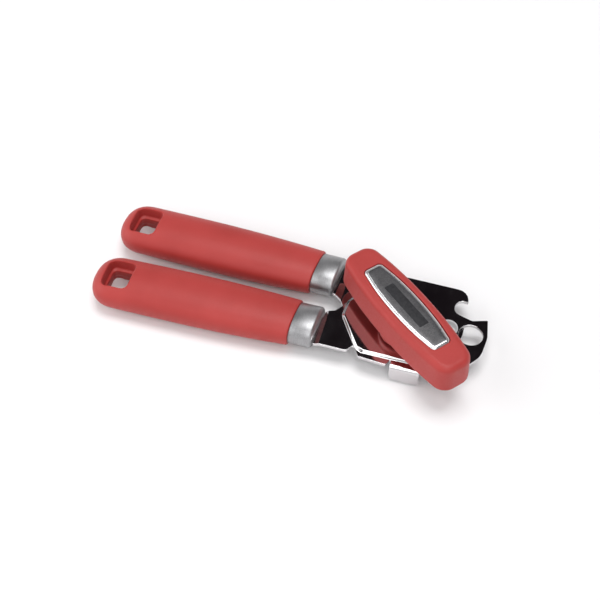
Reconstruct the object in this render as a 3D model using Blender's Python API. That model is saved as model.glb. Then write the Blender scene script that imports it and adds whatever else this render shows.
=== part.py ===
"""A manual can opener: two levers, a turning knob, and the drive and cutting wheels under the head.

Every size below is in millimetres, and finish() turns a mesh into metres. Plan positions are measured
from the drive shaft's axis: +X runs from the handles to the bottle opener, +Z is up, and z = 0 is the
table that the opener lies on, knob up and handles closed.
"""

import math

import bmesh
import bpy
from mathutils import Matrix, Vector

MM = 0.001

# Where the drive shaft stands, so that the whole opener is centred on the world's origin.
DRIVE_AXIS = Vector((62.5, -5.8, 0.0))

# Clearances.
SEAT_GAP = 0.15
RUNNING_GAP = 0.08
PLATE_GAP = 0.3

# The gear pair, which also fixes where the cutter and the handle pivot stand.
GEAR_TEETH = 15
GEAR_MODULE = 1.3
GEAR_THICKNESS = 1.8
GEAR_BACKLASH = 0.22
PRESSURE_ANGLE = math.radians(20)
GEAR_TIP_SHARE = 0.9
GEAR_ROOT_SHARE = 1.2
PITCH_RADIUS = GEAR_MODULE * GEAR_TEETH / 2
CENTRE_DISTANCE = 2 * PITCH_RADIUS
PIVOT_AHEAD = 22.0
PIVOT = Vector((PIVOT_AHEAD, CENTRE_DISTANCE / 2, 0.0))
CUTTER_AXIS = Vector((0.0, CENTRE_DISTANCE, 0.0))
SHAFT = Vector((0.0, 0.0, 0.0))

# Sheet steel and the heights of the stack, from the table up.
SHEET = 1.8
HANDLE_Z = 10.0
FRONT_MIDDLE_Z = HANDLE_Z + 1.0
BACK_MIDDLE_Z = FRONT_MIDDLE_Z - SHEET - PLATE_GAP
UPPER_TANG_Z = HANDLE_Z + 0.6
PLATEAU_HEIGHT = 1.2
PLATEAU_SLOPE = 1.3
LOWER_STEP = (0.6, 2.6)
UPPER_STEP = (0.9, 4.2)
GEAR_TOP_Z = BACK_MIDDLE_Z - SHEET / 2 - PLATE_GAP
GEAR_BOTTOM_Z = GEAR_TOP_Z - GEAR_THICKNESS
FRONT_TOP_Z = FRONT_MIDDLE_Z + SHEET / 2
FRONT_BOTTOM_Z = FRONT_MIDDLE_Z - SHEET / 2
PLATEAU_TOP_Z = FRONT_TOP_Z + PLATEAU_HEIGHT

# The handles.
UPPER_GRIP_LENGTH = 114.2
LOWER_GRIP_LENGTH = 112.2
GRIP_FRONT = (13.3, 8.6)
GRIP_BELLY = (15.2, 10.0)
GRIP_TAIL = (15.0, 9.0)
GRIP_BELLY_AT = 62.0
GRIP_END_LENGTH = 14.0
GRIP_END_ROUNDNESS = 2.4
SECTION_SQUARENESS = 2.3
SECTION_POINTS = 36
UPPER_FRONT = (-53.6, 27.9)
LOWER_FRONT = (-55.6, -8.15)
FACE_SKEW = 0.087
SKEW_FADE = 30.0
UPPER_TURN = math.radians(-1.4)
LOWER_TURN = math.radians(0.8)

# The hang hole: a pocket in each face of the grip and a narrower window between them.
HANG_FROM_END = 14.3
POCKET_TOP = (15.6, 18.4)
POCKET_FLOOR = (13.6, 16.0)
POCKET_CORNER = 3.0
WINDOW = (12.2, 12.6)
WINDOW_FORWARD = 0.5
WINDOW_CORNER = 2.0
WINDOW_HALF_DEPTH = 2.2

# What joins a grip to its lever: a plastic core, the tang inside it, two pins and a steel ferrule.
CORE_BAR = (9.5, 4.6)
CORE_BAR_SQUARENESS = 5.0
CORE_LENGTH = 58.0
FERRULE = (12.1, 8.0)
FERRULE_LENGTH = 12.6
FERRULE_WALL = 0.8
FERRULE_ROUNDING = 3.4
TANG_WIDTH = 13.0
TANG_LENGTH = 46.0
PIN_RADIUS = 1.4
PIN_PLACES = (-14.0, -34.0)
PIN_SUNK = 0.4

# Round parts of the drive and the pivots.
EDGE_BREAK = 0.3
SHAFT_RADIUS = 3.5
SHAFT_IN_KNOB = 12.0
BUSHING_WALL = 1.5
BUSHING_FLANGE = (7.6, 1.0)
THRUST_WASHER_RADIUS = 7.4
FEED_RADIUS = 9.0
FEED_THICKNESS = 2.6
FEED_TEETH = 28
FEED_TOOTH_DEPTH = 0.9
FEED_TOOTH_FLAT = 0.2
NUT_RADIUS = 5.6
NUT_THICKNESS = 1.8
NIP_OVERLAP = 0.5
CUTTER_RADIUS = CENTRE_DISTANCE - FEED_RADIUS + NIP_OVERLAP
CUTTER_THICKNESS = 1.1
CUTTER_BEVEL = 2.6
CUTTER_EDGE = 0.25
CUTTER_HUB_RADIUS = 5.0
STUD_RADIUS = 3.0
STUD_HEAD = (5.0, 0.7)
RIVET_RADIUS = 3.5
RIVET_HEAD = (5.0, 1.6)
RIVET_RIM = 0.35
RIVET_BEVEL = 0.6
PIVOT_WASHER = (6.2, 0.6)
OPENER_HOLE = (34.0, 8.5, 6.4)

# The guide tab, folded down from the front plate's near edge.
TAB_LEFT = -1.8
TAB_RIGHT = 13.8
TAB_FOLD_Y = -20.2
TAB_DROP = 11.0
FOLD_RADIUS = 0.8

# The knob.
KNOB_TURN = math.radians(-40.5)
KNOB_HALF = (44.6, 16.4, 9.5)
KNOB_CORNER = 7.6
BOW_SHARE = 0.72
KNOB_GAP = 5.1
KNOB_HEIGHT = 17.0
KNOB_DRAFT = 0.9
KNOB_TOP_ROUNDING = 3.0
HUB_RADIUS = 12.5
INLAY_HALF = (29.9, 10.3, 5.6)
INLAY_CORNER = 2.8
INLAY_DEPTH = 1.8
BEZEL_RIM = 1.5
BEZEL_BEVEL = 1.1
BEZEL_PROUD = 0.4
BADGE_SUNK = 0.3
LABEL = (15.0, 2.8, 0.35)
LABEL_SEAT = 0.05

WING_BOTTOM_Z = PLATEAU_TOP_Z + KNOB_GAP
WING_TOP_Z = WING_BOTTOM_Z + KNOB_HEIGHT
FLANGE_BOTTOM_Z = PLATEAU_TOP_Z + SEAT_GAP
HUB_BOTTOM_Z = FLANGE_BOTTOM_Z + BUSHING_FLANGE[1] + PLATE_GAP

TURNED_STEPS = 40
FINE_STEPS = 20
CORNER_STEPS = 4
OVERSHOOT = 5.0
SHARP_ANGLE = math.radians(32)


def clear_scene():
    for obj in list(bpy.data.objects):
        bpy.data.objects.remove(obj)


def material(name, colour, metallic, roughness):
    made = bpy.data.materials.new(name)
    made.use_nodes = True
    shader = made.node_tree.nodes["Principled BSDF"]
    shader.inputs["Base Color"].default_value = (*colour, 1.0)
    shader.inputs["Metallic"].default_value = metallic
    shader.inputs["Roughness"].default_value = roughness
    made.diffuse_color = (*colour, 1.0)
    return made


def finish(name, bm, axis, surface):
    """Turns a bmesh in millimetres into an object whose origin is on the given axis."""
    bm.transform(Matrix.Scale(MM, 4) @ Matrix.Translation(-axis))
    bmesh.ops.recalc_face_normals(bm, faces=bm.faces)
    mesh = bpy.data.meshes.new(name)
    bm.to_mesh(mesh)
    bm.free()
    mesh.shade_smooth()
    mesh.set_sharp_from_angle(angle=SHARP_ANGLE)
    obj = bpy.data.objects.new(name, mesh)
    obj.location = (DRIVE_AXIS + axis) * MM
    bpy.context.scene.collection.objects.link(obj)
    if surface:
        mesh.materials.append(surface)
    return obj


def boolean(obj, bm, operation="DIFFERENCE"):
    """Cuts a bmesh from an object, or joins it on, and keeps the tool as a hidden helper."""
    name = f"{obj.name}_{operation.lower()}_{len(obj.modifiers)}"
    tool = finish(name, bm, Vector((0.0, 0.0, 0.0)), None)
    tool.hide_render = True
    tool.display_type = "WIRE"
    modifier = obj.modifiers.new(name, "BOOLEAN")
    modifier.operation = operation
    modifier.solver = "EXACT"
    modifier.object = tool


# Outlines and solids.


def fillet(before, corner, after):
    """The points of a round corner, which is (x, y, radius), between its two neighbours."""
    here = Vector(corner[:2])
    back = (Vector(before[:2]) - here).normalized()
    ahead = (Vector(after[:2]) - here).normalized()
    radius = corner[2]
    if radius == 0:
        return [tuple(here)]
    half = back.angle(ahead) / 2
    reach = radius / math.tan(half)
    centre = here + (back + ahead).normalized() * (radius / math.sin(half))
    start = here + back * reach - centre
    turn = start.angle_signed(here + ahead * reach - centre)
    steps = [Matrix.Rotation(-turn * i / CORNER_STEPS, 2) for i in range(CORNER_STEPS + 1)]
    return [tuple(centre + step @ start) for step in steps]


def rounded(corners):
    """A closed outline through corners (x, y, radius)."""
    points = []
    for i, corner in enumerate(corners):
        points += fillet(corners[i - 1], corner, corners[(i + 1) % len(corners)])
    return points


def rectangle(width, height, corner, centre=(0.0, 0.0)):
    x, y = centre
    sides = [(1, 1), (-1, 1), (-1, -1), (1, -1)]
    return rounded([(x + a * width / 2, y + b * height / 2, corner) for a, b in sides])


def lens(half, corner, inset=0.0):
    """A long shape with gently bowed sides; half holds its half length, middle and end widths."""
    length, middle, end = (value - inset for value in half)
    side_radius = BOW_SHARE * length**2 / (middle - end)
    right = [(length, end, corner - inset / 2), (0.0, middle, side_radius)]
    left = [(-length, end, corner - inset / 2)]
    top = right + left
    bottom = [(-x, -y, radius) for x, y, radius in top]
    return rounded(top + bottom)


def circle(radius, steps):
    angles = [2 * math.pi * i / steps for i in range(steps)]
    return [(radius * math.cos(angle), radius * math.sin(angle)) for angle in angles]


def squircle(half_width, half_height, squareness=SECTION_SQUARENESS):
    points = []
    for x, y in circle(1.0, SECTION_POINTS):
        u = math.copysign(abs(x) ** (2 / squareness), x)
        v = math.copysign(abs(y) ** (2 / squareness), y)
        points.append((half_width * u, half_height * v))
    return points


def skin(bm, loops, closed=False):
    """Quads between each ring of vertices and the next, and back to the first if closed."""
    pairs = list(zip(loops, loops[1:]))
    if closed:
        pairs.append((loops[-1], loops[0]))
    for low, high in pairs:
        for i, vertex in enumerate(low):
            bm.faces.new((low[i - 1], vertex, high[i], high[i - 1]))


def loft(rings):
    """A closed solid over rings of points, with flat ends."""
    bm = bmesh.new()
    loops = [[bm.verts.new(point) for point in ring] for ring in rings]
    skin(bm, loops)
    bm.faces.new(loops[0])
    bm.faces.new(loops[-1])
    return bm


def level(outline, z):
    return [(x, y, z) for x, y in outline]


def prism(outline, low, high):
    return loft([level(outline, low), level(outline, high)])


def holed_prism(outer, inner, low, high):
    """A prism with a hole; both outlines have the same number of points."""
    bm = bmesh.new()
    rings = [level(outer, low), level(outer, high), level(inner, high), level(inner, low)]
    skin(bm, [[bm.verts.new(point) for point in ring] for ring in rings], closed=True)
    return bm


def turned(profile, closed=False, steps=TURNED_STEPS):
    """A solid turned about Z from (radius, z) points: closed for a ring, or from axis to axis."""
    bm = bmesh.new()
    verts = [bm.verts.new((radius, 0.0, z)) for radius, z in profile]
    pairs = list(zip(verts, verts[1:]))
    if closed:
        pairs.append((verts[-1], verts[0]))
    edges = [bm.edges.new(pair) for pair in pairs]
    bmesh.ops.spin(
        bm,
        geom=verts + edges,
        cent=(0.0, 0.0, 0.0),
        axis=(0.0, 0.0, 1.0),
        angle=2 * math.pi,
        steps=steps,
        use_merge=True,
    )
    bmesh.ops.remove_doubles(bm, verts=bm.verts, dist=0.001)
    return bm


def moved(bm, place, turn=0.0):
    bm.transform(Matrix.Translation(place) @ Matrix.Rotation(turn, 4, "Z"))
    return bm


def washer(inner, outer, low, high):
    return turned([(inner, low), (outer, low), (outer, high), (inner, high)], closed=True)


def drill(radius, low, high, place, steps=TURNED_STEPS):
    return moved(prism(circle(radius, steps), low, high), place)


# Levers: flat blanks with a tang, stepped where they leave the ferrule.


def on_handle(front, turn, along, across):
    """A plan point from distances along and across a handle, measured from its grip's front."""
    c, s = math.cos(turn), math.sin(turn)
    return (front[0] + along * c - across * s, front[1] + along * s + across * c)


def tang_corners(front, turn):
    half = TANG_WIDTH / 2
    shoulder = FERRULE_LENGTH + PLATE_GAP
    lean = FACE_SKEW * half
    places = [(shoulder + lean, half, 0.0), (-TANG_LENGTH, half, 2.0)]
    places += [(-TANG_LENGTH, -half, 2.0), (shoulder - lean, -half, 0.0)]
    return [(*on_handle(front, turn, along, across), r) for along, across, r in places]


def neck_corner(front, turn, y, radius):
    """A corner of the lever beside its ferrule, on the line of the ferrule's nose."""
    across = y - front[1]
    along = FERRULE_LENGTH + PLATE_GAP + FACE_SKEW * across
    return (on_handle(front, turn, along, across)[0], y, radius)


def blank(outline, middle_z, cuts):
    """A flat sheet, with extra edges across it at the plan lines (point, normal)."""
    bm = bmesh.new()
    bm.faces.new([bm.verts.new(point) for point in level(outline, 0.0)])
    for point, normal in cuts:
        geometry = bm.verts[:] + bm.edges[:] + bm.faces[:]
        bmesh.ops.bisect_plane(
            bm, geom=geometry, dist=1e-5, plane_co=(*point, 0.0), plane_no=(*normal, 0.0)
        )
    made = bmesh.ops.extrude_face_region(bm, geom=bm.faces[:])
    top = [item for item in made["geom"] if isinstance(item, bmesh.types.BMVert)]
    bmesh.ops.translate(bm, verts=top, vec=(0.0, 0.0, SHEET))
    bmesh.ops.translate(bm, verts=bm.verts, vec=(0.0, 0.0, middle_z - SHEET / 2))
    return bm


def step_sheet(bm, front, turn, start, end, rise):
    """Raises or lowers the sheet behind a slope that runs between two distances on the handle."""
    for vertex in bm.verts:
        x, y = vertex.co.x - front[0], vertex.co.y - front[1]
        along = x * math.cos(turn) + y * math.sin(turn)
        share = min(1.0, max(0.0, (end - along) / (end - start)))
        vertex.co.z += rise * share


def fold_tab(bm):
    """Folds the tab down about its bend line, as a press does."""
    arc = (FOLD_RADIUS + SHEET / 2) * math.pi / 2
    for vertex in bm.verts:
        past = TAB_FOLD_Y - vertex.co.y
        if past <= 0 or not TAB_LEFT - 0.1 < vertex.co.x < TAB_RIGHT + 0.1:
            continue
        angle = math.pi / 2 * min(1.0, past / arc)
        radius = FOLD_RADIUS + vertex.co.z - FRONT_BOTTOM_Z
        drop = max(0.0, past - arc)
        vertex.co.y = TAB_FOLD_Y - radius * math.sin(angle)
        vertex.co.z = FRONT_BOTTOM_Z - FOLD_RADIUS + radius * math.cos(angle) - drop


def front_outline():
    tab_end = TAB_FOLD_Y - TAB_DROP
    tang_top, end_top, end_bottom, tang_bottom = tang_corners(LOWER_FRONT, LOWER_TURN)
    return rounded(
        [
            tang_top,
            end_top,
            end_bottom,
            tang_bottom,
            neck_corner(LOWER_FRONT, LOWER_TURN, -19.0, 1.0),
            (-25.4, -19.1, 1.5),
            (-22.4, -14.9, 0.8),
            (-18.6, -20.9, 1.5),
            (-4.0, -22.0, 1.5),
            (TAB_LEFT - 0.7, -18.9, 0.3),
            (TAB_LEFT, -18.9, 0.3),
            (TAB_LEFT, tab_end, 3.0),
            (TAB_RIGHT, tab_end, 2.0),
            (TAB_RIGHT, -18.9, 0.3),
            (TAB_RIGHT + 0.7, -18.9, 0.3),
            (TAB_RIGHT + 1.4, -20.4, 1.0),
            (22.0, -20.0, 6.0),
            (34.0, -13.5, 10.0),
            (41.5, -3.5, 14.0),
            (42.8, 9.0, 14.0),
            (41.0, 20.4, 0.6),
            (33.0, 17.8, 3.0),
            (22.3, 21.0, 4.4),
            (23.2, 30.4, 4.2),
            (29.0, 28.9, 0.4),
            (27.8, 36.6, 6.5),
            (-7.0, 37.0, 8.0),
            (-25.0, 27.5, 8.0),
            (-31.0, 15.5, 6.0),
            (-34.8, 7.6, 0.8),
            (-37.5, 4.2, 2.0),
            neck_corner(LOWER_FRONT, LOWER_TURN, 2.6, 1.0),
        ]
    )


def plateau(inset):
    """The embossed field round the drive shaft, as an outline at the sheet's own level."""
    corners = [
        (-32.6, 12.0, 6.0),
        (-33.2, 2.0, 5.0),
        (-21.0, -16.8, 3.0),
        (-17.6, -18.2, 3.0),
        (13.6, -18.2, 4.0),
        (13.6, 3.0, 8.0),
        (-4.0, 20.0, 8.0),
        (-26.0, 21.0, 7.0),
    ]
    centre = Vector((-8.0, 0.0))
    points = []
    for x, y in rounded(corners):
        out = Vector((x, y)) - centre
        points.append(tuple(centre + out * (1 - inset / out.length)))
    return points


def embossing(low, high, spread=0.0):
    """The raised field as a frustum that starts at low and ends at high."""
    rings = [
        level(plateau(spread), low - 0.4),
        level(plateau(spread), low),
        level(plateau(spread + PLATEAU_SLOPE), high),
    ]
    return loft(rings)


def make_front_plate(steel):
    shoulder = FERRULE_LENGTH + PLATE_GAP
    start, end = (shoulder + past for past in LOWER_STEP)
    turn = (math.cos(LOWER_TURN), math.sin(LOWER_TURN))
    cuts = [(on_handle(LOWER_FRONT, LOWER_TURN, place, 0.0), turn) for place in (start, end)]
    arc = (FOLD_RADIUS + SHEET / 2) * math.pi / 2
    cuts += [((0.0, TAB_FOLD_Y - arc * i / 5), (0.0, 1.0)) for i in range(1, 6)]
    bm = blank(front_outline(), FRONT_MIDDLE_Z, cuts)
    step_sheet(bm, LOWER_FRONT, LOWER_TURN, start, end, HANDLE_Z - FRONT_MIDDLE_Z)
    fold_tab(bm)
    plate = finish("front_plate", bm, SHAFT, steel)
    boolean(plate, embossing(FRONT_TOP_Z, PLATEAU_TOP_Z), "UNION")
    recess = embossing(FRONT_BOTTOM_Z, FRONT_BOTTOM_Z + PLATEAU_HEIGHT, PLATEAU_SLOPE / 2)
    boolean(plate, recess)
    low, high = FRONT_BOTTOM_Z - OVERSHOOT, PLATEAU_TOP_Z + OVERSHOOT
    bushing_hole = SHAFT_RADIUS + RUNNING_GAP + BUSHING_WALL + SEAT_GAP
    boolean(plate, drill(bushing_hole, low, high, SHAFT))
    boolean(plate, drill(RIVET_RADIUS + SEAT_GAP, low, high, PIVOT))
    boolean(plate, drill(OPENER_HOLE[2], low, high, Vector((*OPENER_HOLE[:2], 0.0))))
    drill_for_pins(plate, LOWER_FRONT, LOWER_TURN)
    return plate


def back_outline():
    tang_top, end_top, end_bottom, tang_bottom = tang_corners(UPPER_FRONT, UPPER_TURN)
    boss = RIVET_RADIUS + 4.5
    clear = THRUST_WASHER_RADIUS + 1.6
    x, y = PIVOT[:2]
    return rounded(
        [
            tang_top,
            end_top,
            end_bottom,
            tang_bottom,
            neck_corner(UPPER_FRONT, UPPER_TURN, 15.4, 1.0),
            (-37.2, 13.6, 1.5),
            (-34.4, clear, 1.5),
            (x - boss - 3.0, clear, 3.0),
            (x - boss + 1.0, y - boss, 4.0),
            (x + boss, y - boss, 7.0),
            (x + boss, y + boss, 7.5),
            (CUTTER_AXIS.x + 9.0, CUTTER_AXIS.y + 9.0, 8.0),
            (-12.0, 35.6, 10.0),
            neck_corner(UPPER_FRONT, UPPER_TURN, 37.0, 1.0),
        ]
    )


def make_back_plate(steel):
    shoulder = FERRULE_LENGTH + PLATE_GAP
    start, end = (shoulder + past for past in UPPER_STEP)
    turn = (math.cos(UPPER_TURN), math.sin(UPPER_TURN))
    cuts = [(on_handle(UPPER_FRONT, UPPER_TURN, place, 0.0), turn) for place in (start, end)]
    bm = blank(back_outline(), BACK_MIDDLE_Z, cuts)
    step_sheet(bm, UPPER_FRONT, UPPER_TURN, start, end, UPPER_TANG_Z - BACK_MIDDLE_Z)
    plate = finish("back_plate", bm, PIVOT, steel)
    low, high = BACK_MIDDLE_Z - OVERSHOOT, BACK_MIDDLE_Z + OVERSHOOT
    boolean(plate, drill(RIVET_RADIUS + RUNNING_GAP, low, high, PIVOT))
    boolean(plate, drill(STUD_RADIUS + SEAT_GAP, low, high, CUTTER_AXIS))
    drill_for_pins(plate, UPPER_FRONT, UPPER_TURN)
    return plate


def pin_centre(front, turn, place):
    return Vector((*on_handle(front, turn, place, 0.0), 0.0))


def drill_for_pins(obj, front, turn):
    low, high = HANDLE_Z - 2 * OVERSHOOT, HANDLE_Z + 2 * OVERSHOOT
    for place in PIN_PLACES:
        centre = pin_centre(front, turn, place)
        boolean(obj, drill(PIN_RADIUS + SEAT_GAP, low, high, centre, FINE_STEPS))


# Handles.


def across_handle(outline, along, fade=1.0):
    """A ring across the handle from (across, up) points, skewed in plan as the grip's face is."""
    skew = FACE_SKEW * fade
    return [(along + skew * across, across, HANDLE_Z + up) for across, up in outline]


def grip_half(index, distance, length):
    """Half the grip's width (index 0) or height (index 1) at a distance behind its front."""
    front, belly, tail = GRIP_FRONT[index], GRIP_BELLY[index], GRIP_TAIL[index]
    if distance < GRIP_BELLY_AT:
        share = (GRIP_BELLY_AT - distance) / GRIP_BELLY_AT
        return belly - (belly - front) * share**2
    share = (distance - GRIP_BELLY_AT) / (length - GRIP_BELLY_AT)
    return belly - (belly - tail) * share**2


def grip_rings(length):
    straight = length - GRIP_END_LENGTH
    stations = [(0.0, 0.965), (0.45, 1.0)]
    stations += [(straight * i / 8, 1.0) for i in range(1, 9)]
    for share in (0.3, 0.52, 0.7, 0.83, 0.92, 0.97, 0.995):
        shrink = (1 - share**GRIP_END_ROUNDNESS) ** (1 / GRIP_END_ROUNDNESS)
        stations.append((straight + GRIP_END_LENGTH * share, shrink))
    rings = []
    for distance, shrink in stations:
        half = [grip_half(index, distance, length) * shrink for index in (0, 1)]
        fade = max(0.0, 1 - distance / SKEW_FADE)
        rings.append(across_handle(squircle(*half), -distance, fade))
    return rings


def hang_hole(length):
    """The cutter for a hang hole: pocket, window, pocket, from below the grip to above it."""
    x = HANG_FROM_END - length
    reach = GRIP_BELLY[1] + 1.0
    outer = rectangle(*POCKET_TOP, POCKET_CORNER, (x, 0.0))
    floor = rectangle(*POCKET_FLOOR, POCKET_CORNER, (x, 0.0))
    window = rectangle(*WINDOW, WINDOW_CORNER, (x + WINDOW_FORWARD, 0.0))
    heights = [(outer, -reach), (floor, -WINDOW_HALF_DEPTH), (window, -WINDOW_HALF_DEPTH)]
    heights += [(outline, -z) for outline, z in reversed(heights)]
    return loft([level(outline, HANDLE_Z + z) for outline, z in heights])


def make_grip(name, front, turn, length, red, axis):
    place = Vector((*front, 0.0))
    grip = finish(name, moved(loft(grip_rings(length)), place, turn), axis, red)
    bar = [half + SEAT_GAP for half in CORE_BAR]
    section = squircle(*bar, CORE_BAR_SQUARENESS)
    ends = (-CORE_LENGTH - SEAT_GAP, OVERSHOOT)
    socket = loft([across_handle(section, along, 0.0) for along in ends])
    boolean(grip, moved(socket, place, turn))
    boolean(grip, moved(hang_hole(length), place, turn))
    return grip


def ferrule_rings(shrink):
    """Rings from the grip's face to the rounded nose, shrunk on all sides."""
    half = [value - shrink for value in FERRULE]
    nose = FERRULE_LENGTH - shrink
    rounding = FERRULE_ROUNDING - shrink
    rings = [across_handle(squircle(*half), SEAT_GAP)]
    for i in range(6):
        angle = math.pi / 2 * i / 5
        inset = rounding * (1 - math.cos(angle))
        along = nose - rounding * (1 - math.sin(angle))
        rings.append(across_handle(squircle(half[0] - inset, half[1] - inset), along))
    return rings


def box(low, high):
    (x0, y0, z0), (x1, y1, z1) = low, high
    return prism([(x0, y0), (x1, y0), (x1, y1), (x0, y1)], z0, z1)


def tang_slot(tang_z):
    half = TANG_WIDTH / 2 + PLATE_GAP
    depth = SHEET / 2 + PLATE_GAP
    low = (-TANG_LENGTH - PLATE_GAP, -half, tang_z - depth)
    return box(low, (FERRULE_LENGTH + OVERSHOOT, half, tang_z + depth))


def make_ferrule(name, front, turn, tang_z, steel, axis):
    place = Vector((*front, 0.0))
    ferrule = finish(name, moved(loft(ferrule_rings(0.0)), place, turn), axis, steel)
    hollow = ferrule_rings(FERRULE_WALL)
    mouth = [(x - OVERSHOOT, y, z) for x, y, z in hollow[0]]
    boolean(ferrule, moved(loft([mouth] + hollow), place, turn))
    boolean(ferrule, moved(tang_slot(tang_z), place, turn))
    return ferrule


def make_core(name, front, turn, tang_z, plastic, axis):
    place = Vector((*front, 0.0))
    bar = squircle(*CORE_BAR, CORE_BAR_SQUARENESS)
    neck = ferrule_rings(FERRULE_WALL + SEAT_GAP)
    rings = [across_handle(bar, -CORE_LENGTH, 0.0), across_handle(bar, SEAT_GAP)] + neck
    core = finish(name, moved(loft(rings), place, turn), axis, plastic)
    boolean(core, moved(tang_slot(tang_z), place, turn))
    drill_for_pins(core, front, turn)
    return core


def make_pins(name, front, turn, steel, axis):
    half = CORE_BAR[1] - PIN_SUNK
    profile = [(0.0, -half), (PIN_RADIUS - EDGE_BREAK, -half), (PIN_RADIUS, EDGE_BREAK - half)]
    profile += [(radius, -z) for radius, z in reversed(profile)]
    for letter, place in zip("ab", PIN_PLACES):
        centre = pin_centre(front, turn, place) + Vector((0.0, 0.0, HANDLE_Z))
        pin = moved(turned(profile, steps=FINE_STEPS), centre)
        finish(f"{name}_{letter}", pin, axis, steel)


def make_handle(side, front, turn, length, tang_z, surfaces, axis):
    make_grip(f"{side}_grip", front, turn, length, surfaces["red"], axis)
    make_core(f"{side}_core", front, turn, tang_z, surfaces["nylon"], axis)
    make_ferrule(f"{side}_ferrule", front, turn, tang_z, surfaces["brushed"], axis)
    make_pins(f"{side}_tang_pin", front, turn, surfaces["zinc"], axis)


# Gears, wheels and pivots.


def involute(angle):
    return math.tan(angle) - angle


def tooth_half_angle(radius):
    """Half of a tooth's angular width at a radius; the flank is radial under the base circle."""
    base = PITCH_RADIUS * math.cos(PRESSURE_ANGLE)
    pressure = math.acos(min(1.0, base / max(base, radius)))
    at_pitch = math.pi / (2 * GEAR_TEETH) - GEAR_BACKLASH / (4 * PITCH_RADIUS)
    return at_pitch + involute(PRESSURE_ANGLE) - involute(pressure)


def gear_outline():
    """Fifteen involute teeth, the first of them centred on +X."""
    root = PITCH_RADIUS - GEAR_ROOT_SHARE * GEAR_MODULE
    tip = PITCH_RADIUS + GEAR_TIP_SHARE * GEAR_MODULE
    base = PITCH_RADIUS * math.cos(PRESSURE_ANGLE)
    flank = [root] + [base + (tip - base) * share for share in (0.0, 0.35, 0.7, 1.0)]
    points = []
    for tooth in range(GEAR_TEETH):
        middle = 2 * math.pi * tooth / GEAR_TEETH
        rising = [(radius, middle - tooth_half_angle(radius)) for radius in flank]
        falling = [(radius, middle + tooth_half_angle(radius)) for radius in reversed(flank)]
        points += [(r * math.cos(a), r * math.sin(a)) for r, a in rising + falling]
    return points


def matching_circle(outline, radius):
    """A circle's points in the directions of an outline's points."""
    return [(radius * x / math.hypot(x, y), radius * y / math.hypot(x, y)) for x, y in outline]


def make_gear(name, axis, bore, turn, steel):
    outline = gear_outline()
    bm = holed_prism(outline, matching_circle(outline, bore), GEAR_BOTTOM_Z, GEAR_TOP_Z)
    return finish(name, moved(bm, axis, turn), axis, steel)


def make_feed_wheel(steel):
    top = GEAR_BOTTOM_Z - PLATE_GAP
    outline = []
    for i in range(2 * FEED_TEETH):
        radius = FEED_RADIUS if i % 2 else FEED_RADIUS - FEED_TOOTH_DEPTH
        for lean in (-FEED_TOOTH_FLAT, FEED_TOOTH_FLAT):
            angle = math.pi * (i + lean) / FEED_TEETH
            outline.append((radius * math.cos(angle), radius * math.sin(angle)))
    bore = matching_circle(outline, SHAFT_RADIUS + SEAT_GAP)
    bm = holed_prism(outline, bore, top - FEED_THICKNESS, top)
    return finish("feed_wheel", bm, SHAFT, steel)


def shaft_end_z():
    nut_top = GEAR_BOTTOM_Z - 2 * PLATE_GAP - FEED_THICKNESS
    return nut_top - NUT_THICKNESS


def make_shaft(steel):
    low, high = shaft_end_z() + EDGE_BREAK, WING_BOTTOM_Z + SHAFT_IN_KNOB
    chamfer = 0.5
    profile = [
        (0.0, low),
        (SHAFT_RADIUS - chamfer, low),
        (SHAFT_RADIUS, low + chamfer),
        (SHAFT_RADIUS, high - chamfer),
        (SHAFT_RADIUS - chamfer, high),
        (0.0, high),
    ]
    finish("drive_shaft", turned(profile), SHAFT, steel)
    bottom = shaft_end_z()
    hexagon = circle(NUT_RADIUS, 6)
    nut = finish("shaft_nut", prism(hexagon, bottom, bottom + NUT_THICKNESS), SHAFT, steel)
    hole = drill(SHAFT_RADIUS + SEAT_GAP, bottom - OVERSHOOT, bottom + OVERSHOOT, SHAFT)
    boolean(nut, hole)


def make_bushing(bronze):
    bore = SHAFT_RADIUS + RUNNING_GAP
    sleeve = bore + BUSHING_WALL
    flange, thickness = BUSHING_FLANGE
    low = FRONT_BOTTOM_Z + SEAT_GAP
    top = FLANGE_BOTTOM_Z + thickness
    profile = [(bore, low), (sleeve, low), (sleeve, FLANGE_BOTTOM_Z), (flange, FLANGE_BOTTOM_Z)]
    profile += [(flange, top - EDGE_BREAK), (flange - EDGE_BREAK, top), (bore, top)]
    finish("shaft_bushing", turned(profile, closed=True), SHAFT, bronze)


def make_thrust_washer(steel):
    low, high = GEAR_TOP_Z + SEAT_GAP, FRONT_BOTTOM_Z - SEAT_GAP
    bore = SHAFT_RADIUS + SEAT_GAP
    finish("thrust_washer", washer(bore, THRUST_WASHER_RADIUS, low, high), SHAFT, steel)


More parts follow.
